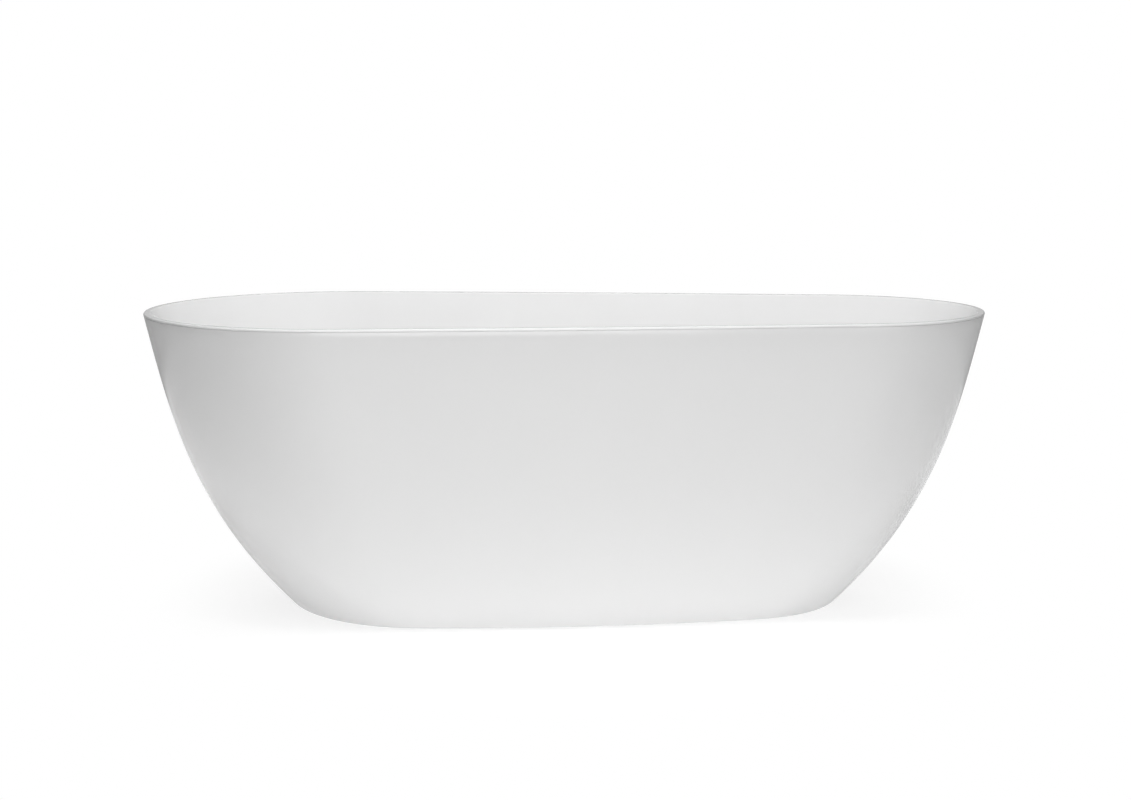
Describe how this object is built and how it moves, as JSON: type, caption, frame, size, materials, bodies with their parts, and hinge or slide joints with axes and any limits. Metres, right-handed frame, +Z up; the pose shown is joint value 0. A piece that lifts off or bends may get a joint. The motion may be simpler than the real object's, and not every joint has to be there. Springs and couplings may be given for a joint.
{
  "type": "freestanding bathtub",
  "caption": "Freestanding egg-plan bathtub: double-skinned acrylic shell with a wide and a narrow end, on a hidden levelling frame, with click-clack waste, trap and overflow.",
  "frame": {"origin": "on the floor, under the middle of the tub's length and on its centre line", "axes": "+X along the tub's length towards the narrow foot end, +Y towards the far long side (the overflow is on the -Y side), +Z up"},
  "size_m": [1.648, 0.7484, 0.58],
  "materials": {
    "acrylic_white": "high-gloss white sanitary acrylic",
    "adhesive": "cured joint adhesive, slightly uneven",
    "chipboard": "raw chipboard",
    "galvanised_steel": "galvanised, faint spangle",
    "zinc_plate": "zinc-plated, satin",
    "spring_steel": "drawn wire",
    "chrome": "polished chrome plate",
    "black_rubber": "matt moulded rubber",
    "white_plastic": "moulded polypropylene, satin",
    "grey_plastic": "moulded plastic, satin",
    "hose_grey": "flexible ribbed hose, satin"
  },
  "bodies": {
    "tub": {"base_board": "chipboard", "basin": "acrylic_white", "board_screw_foot_far": "zinc_plate", "board_screw_foot_near": "zinc_plate", "board_screw_head_far": "zinc_plate", "board_screw_head_near": "zinc_plate", "cross_tube_foot": "galvanised_steel", "cross_tube_head": "galvanised_steel", "cross_tube_middle": "galvanised_steel", "drain_flange": "chrome", "drain_gasket_lower": "black_rubber", "drain_gasket_upper": "black_rubber", "frame_rail_far": "galvanised_steel", "frame_rail_near": "galvanised_steel", "hose_nut_lower": "grey_plastic", "hose_nut_upper": "grey_plastic", "lock_nut_foot_far": "zinc_plate", "lock_nut_foot_near": "zinc_plate", "lock_nut_head_far": "zinc_plate", "lock_nut_head_near": "zinc_plate", "overflow_body": "white_plastic", "overflow_cover": "chrome", "overflow_gasket": "black_rubber", "overflow_hose": "hose_grey", "overflow_screw": "chrome", "rim_bond": "adhesive", "skirt": "acrylic_white", "skirt_bracket_foot_far": "galvanised_steel", "skirt_bracket_foot_near": "galvanised_steel", "skirt_bracket_head_far": "galvanised_steel", "skirt_bracket_head_near": "galvanised_steel", "skirt_screw_foot_far": "zinc_plate", "skirt_screw_foot_near": "zinc_plate", "skirt_screw_head_far": "zinc_plate", "skirt_screw_head_near": "zinc_plate", "stopper_cartridge": "zinc_plate", "stopper_spring": "spring_steel", "trap_bowl": "white_plastic", "trap_lid": "white_plastic", "trap_nut": "grey_plastic", "waste_body": "white_plastic", "weld_nut_foot_far": "galvanised_steel", "weld_nut_foot_near": "galvanised_steel", "weld_nut_head_far": "galvanised_steel", "weld_nut_head_near": "galvanised_steel"},
    "stopper": {"stopper_cap": "chrome", "stopper_seal": "black_rubber", "stopper_stem": "zinc_plate"},
    "pad_head_near": {"foot_pad_head_near": "black_rubber"},
    "stud_head_near": {"foot_stud_head_near": "zinc_plate"},
    "pad_head_far": {"foot_pad_head_far": "black_rubber"},
    "stud_head_far": {"foot_stud_head_far": "zinc_plate"},
    "pad_foot_near": {"foot_pad_foot_near": "black_rubber"},
    "stud_foot_near": {"foot_stud_foot_near": "zinc_plate"},
    "pad_foot_far": {"foot_pad_foot_far": "black_rubber"},
    "stud_foot_far": {"foot_stud_foot_far": "zinc_plate"}
  },
  "joints": [
    {"name": "stopper_lift", "type": "slide", "parent": "tub", "child": "stopper", "axis": [0, 0, 1], "range_m": [0, 0.008], "deforming": ["stopper_spring"]},
    {"name": "foot_head_near_height", "type": "slide", "parent": "tub", "child": "pad_head_near", "axis": [0, 0, 1], "range_m": [-0.02, 0]},
    {"name": "foot_head_near_screw", "type": "hinge", "parent": "pad_head_near", "child": "stud_head_near", "pos_m": [-0.39, -0.15305, 0], "axis": [0, 0, 1], "range_deg": [-4810, 0]},
    {"name": "foot_head_far_height", "type": "slide", "parent": "tub", "child": "pad_head_far", "axis": [0, 0, 1], "range_m": [-0.02, 0]},
    {"name": "foot_head_far_screw", "type": "hinge", "parent": "pad_head_far", "child": "stud_head_far", "pos_m": [-0.39, 0.15305, 0], "axis": [0, 0, 1], "range_deg": [-4810, 0]},
    {"name": "foot_foot_near_height", "type": "slide", "parent": "tub", "child": "pad_foot_near", "axis": [0, 0, 1], "range_m": [-0.02, 0]},
    {"name": "foot_foot_near_screw", "type": "hinge", "parent": "pad_foot_near", "child": "stud_foot_near", "pos_m": [0.37, -0.12455, 0], "axis": [0, 0, 1], "range_deg": [-4810, 0]},
    {"name": "foot_foot_far_height", "type": "slide", "parent": "tub", "child": "pad_foot_far", "axis": [0, 0, 1], "range_m": [-0.02, 0]},
    {"name": "foot_foot_far_screw", "type": "hinge", "parent": "pad_foot_far", "child": "stud_foot_far", "pos_m": [0.37, 0.12455, 0], "axis": [0, 0, 1], "range_deg": [-4810, 0]}
  ],
  "couplings": [
    {"joint": "foot_head_near_screw", "follows": "foot_head_near_height", "rad_per_m": 4188.8},
    {"joint": "foot_head_far_screw", "follows": "foot_head_far_height", "rad_per_m": 4188.8},
    {"joint": "foot_foot_near_screw", "follows": "foot_foot_near_height", "rad_per_m": 4188.8},
    {"joint": "foot_foot_far_screw", "follows": "foot_foot_far_height", "rad_per_m": 4188.8}
  ]
}
